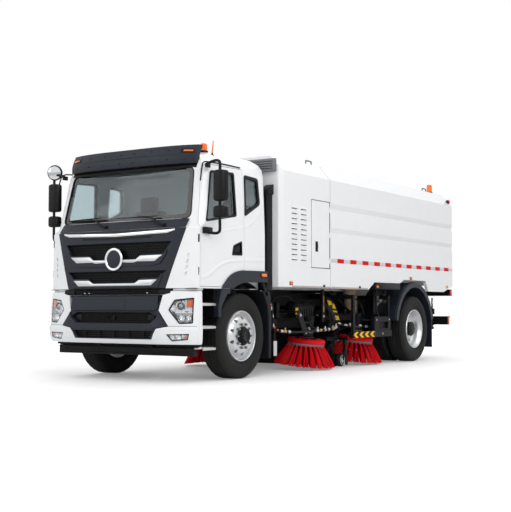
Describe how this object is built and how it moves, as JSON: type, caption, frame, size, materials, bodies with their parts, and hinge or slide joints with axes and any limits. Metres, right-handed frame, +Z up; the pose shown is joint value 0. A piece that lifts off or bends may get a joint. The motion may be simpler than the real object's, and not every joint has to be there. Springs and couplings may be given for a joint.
{
  "type": "road sweeper truck",
  "caption": "Two-axle road sweeper truck with tilting cab, tipping hopper body, suction nozzle and disc brooms under each side.",
  "frame": {"origin": "on the ground, under the middle of the whole truck", "axes": "+X forward, +Y to the truck's left, +Z up"},
  "size_m": [7.354, 2.722, 2.925],
  "materials": {
    "white_paint": "clean white gloss paint",
    "navy_plastic": "dark blue-black moulded plastic",
    "black_steel": "black chassis paint",
    "silver_rim": "silver paint",
    "tyre_rubber": "black rubber",
    "window_glass": "clear, slightly grey-green",
    "broom_red": "red bristles and disc",
    "lamp_clear": "clear lamp lens",
    "hose_beige": "beige corrugated hose",
    "cab_trim": "dark grey trim and seats",
    "engine_grey": "grey castings"
  },
  "bodies": {
    "chassis": {"chassis_frame": "black_steel", "engine_and_driveline": "engine_grey", "bumper_shell": "white_paint", "bumper_centre": "navy_plastic", "headlamp_left": "lamp_clear", "headlamp_right": "lamp_clear", "cab_steps_left": "black_steel", "cab_steps_right": "black_steel", "front_mudguard_left": "black_steel", "front_mudguard_right": "black_steel", "front_axle": "black_steel", "rear_axle": "black_steel", "front_body_module": "white_paint", "auxiliary_engine": "engine_grey", "air_intake": "navy_plastic", "cooler_panel": "cab_trim", "side_guard_left": "black_steel", "side_guard_right": "black_steel", "rear_fender_left": "navy_plastic", "rear_fender_right": "navy_plastic", "suction_nozzle": "black_steel", "suction_hose_left": "hose_beige", "suction_hose_right": "hose_beige"},
    "cab": {"cab_shell": "white_paint", "front_grille": "navy_plastic", "windscreen": "window_glass", "sun_visor": "navy_plastic", "cab_interior": "cab_trim", "wheel_flare_left": "navy_plastic", "wheel_flare_right": "navy_plastic"},
    "hopper": {"hopper": "white_paint", "tail_lamp_bar": "black_steel"},
    "tailgate": {"tailgate": "white_paint"},
    "door_left": {"cab_door_left": "white_paint", "mirror_left": "navy_plastic"},
    "knuckle_left": {"steering_knuckle_left": "black_steel"},
    "front_wheel_left": {"front_tyre_left": "tyre_rubber", "front_rim_left": "silver_rim"},
    "rear_wheels_left": {"rear_outer_tyre_left": "tyre_rubber", "rear_inner_tyre_left": "tyre_rubber", "rear_rim_left": "silver_rim"},
    "compartment_door_left": {"compartment_door_left": "white_paint"},
    "front_arm_left": {"front_broom_arm_left": "black_steel"},
    "front_broom_left": {"front_broom_left": "broom_red"},
    "rear_arm_left": {"rear_broom_arm_left": "black_steel"},
    "rear_broom_left": {"rear_broom_left": "broom_red"},
    "door_right": {"cab_door_right": "white_paint", "mirror_right": "navy_plastic"},
    "knuckle_right": {"steering_knuckle_right": "black_steel"},
    "front_wheel_right": {"front_tyre_right": "tyre_rubber", "front_rim_right": "silver_rim"},
    "rear_wheels_right": {"rear_outer_tyre_right": "tyre_rubber", "rear_inner_tyre_right": "tyre_rubber", "rear_rim_right": "silver_rim"},
    "compartment_door_right": {"compartment_door_right": "white_paint"},
    "front_arm_right": {"front_broom_arm_right": "black_steel"},
    "front_broom_right": {"front_broom_right": "broom_red"},
    "rear_arm_right": {"rear_broom_arm_right": "black_steel"},
    "rear_broom_right": {"rear_broom_right": "broom_red"}
  },
  "joints": [
    {"name": "cab_tilt", "type": "hinge", "parent": "chassis", "child": "cab", "pos_m": [3.543, 0, 0.8], "axis": [0, 1, 0], "range_deg": [0, 45]},
    {"name": "hopper_tip", "type": "hinge", "parent": "chassis", "child": "hopper", "pos_m": [-3.377, 0, 1.02], "axis": [0, -1, 0], "range_deg": [0, 45]},
    {"name": "tailgate_swing", "type": "hinge", "parent": "hopper", "child": "tailgate", "pos_m": [-3.627, 0, 2.605], "axis": [0, 1, 0], "range_deg": [0, 80]},
    {"name": "door_left_swing", "type": "hinge", "parent": "cab", "child": "door_left", "pos_m": [3.465, 1.108, 1.7], "axis": [0, 0, -1], "range_deg": [0, 70]},
    {"name": "steer_left", "type": "hinge", "parent": "chassis", "child": "knuckle_left", "pos_m": [2.573, 0.86, 0.506], "axis": [0, 0, 1], "range_deg": [-35, 35]},
    {"name": "front_wheel_left_spin", "type": "hinge", "parent": "knuckle_left", "child": "front_wheel_left", "pos_m": [2.573, 0.944, 0.506], "axis": [0, 1, 0], "continuous": true},
    {"name": "rear_wheels_left_spin", "type": "hinge", "parent": "chassis", "child": "rear_wheels_left", "pos_m": [-2.127, 1.072, 0.506], "axis": [0, 1, 0], "continuous": true},
    {"name": "compartment_door_left_swing", "type": "hinge", "parent": "chassis", "child": "compartment_door_left", "pos_m": [0.688, 1.23, 1.8], "axis": [0, 0, 1], "range_deg": [0, 110]},
    {"name": "front_arm_left_swing", "type": "hinge", "parent": "chassis", "child": "front_arm_left", "pos_m": [1.093, 0.52, 0.7], "axis": [0, 0, 1], "range_deg": [-10, 12]},
    {"name": "front_broom_left_spin", "type": "hinge", "parent": "front_arm_left", "child": "front_broom_left", "pos_m": [0.563, 0.8, 0.44], "axis": [0, 0.1045, 0.9945], "continuous": true},
    {"name": "rear_arm_left_swing", "type": "hinge", "parent": "chassis", "child": "rear_arm_left", "pos_m": [-0.397, 0.52, 0.7], "axis": [0, 0, 1], "range_deg": [-10, 12]},
    {"name": "rear_broom_left_spin", "type": "hinge", "parent": "rear_arm_left", "child": "rear_broom_left", "pos_m": [-0.927, 0.79, 0.44], "axis": [0, 0.1045, 0.9945], "continuous": true},
    {"name": "door_right_swing", "type": "hinge", "parent": "cab", "child": "door_right", "pos_m": [3.465, -1.108, 1.7], "axis": [0, 0, 1], "range_deg": [0, 70]},
    {"name": "steer_right", "type": "hinge", "parent": "chassis", "child": "knuckle_right", "pos_m": [2.573, -0.86, 0.506], "axis": [0, 0, 1], "range_deg": [-35, 35]},
    {"name": "front_wheel_right_spin", "type": "hinge", "parent": "knuckle_right", "child": "front_wheel_right", "pos_m": [2.573, -0.944, 0.506], "axis": [0, 1, 0], "continuous": true},
    {"name": "rear_wheels_right_spin", "type": "hinge", "parent": "chassis", "child": "rear_wheels_right", "pos_m": [-2.127, -1.072, 0.506], "axis": [0, 1, 0], "continuous": true},
    {"name": "compartment_door_right_swing", "type": "hinge", "parent": "chassis", "child": "compartment_door_right", "pos_m": [0.688, -1.23, 1.8], "axis": [0, 0, -1], "range_deg": [0, 110]},
    {"name": "front_arm_right_swing", "type": "hinge", "parent": "chassis", "child": "front_arm_right", "pos_m": [1.093, -0.52, 0.7], "axis": [0, 0, -1], "range_deg": [-10, 12]},
    {"name": "front_broom_right_spin", "type": "hinge", "parent": "front_arm_right", "child": "front_broom_right", "pos_m": [0.563, -0.8, 0.44], "axis": [0, -0.1045, 0.9945], "continuous": true},
    {"name": "rear_arm_right_swing", "type": "hinge", "parent": "chassis", "child": "rear_arm_right", "pos_m": [-0.397, -0.52, 0.7], "axis": [0, 0, -1], "range_deg": [-10, 12]},
    {"name": "rear_broom_right_spin", "type": "hinge", "parent": "rear_arm_right", "child": "rear_broom_right", "pos_m": [-0.927, -0.79, 0.44], "axis": [0, -0.1045, 0.9945], "continuous": true}
  ],
  "couplings": [
    {"joint": "steer_right", "follows": "steer_left", "ratio": 1}
  ]
}
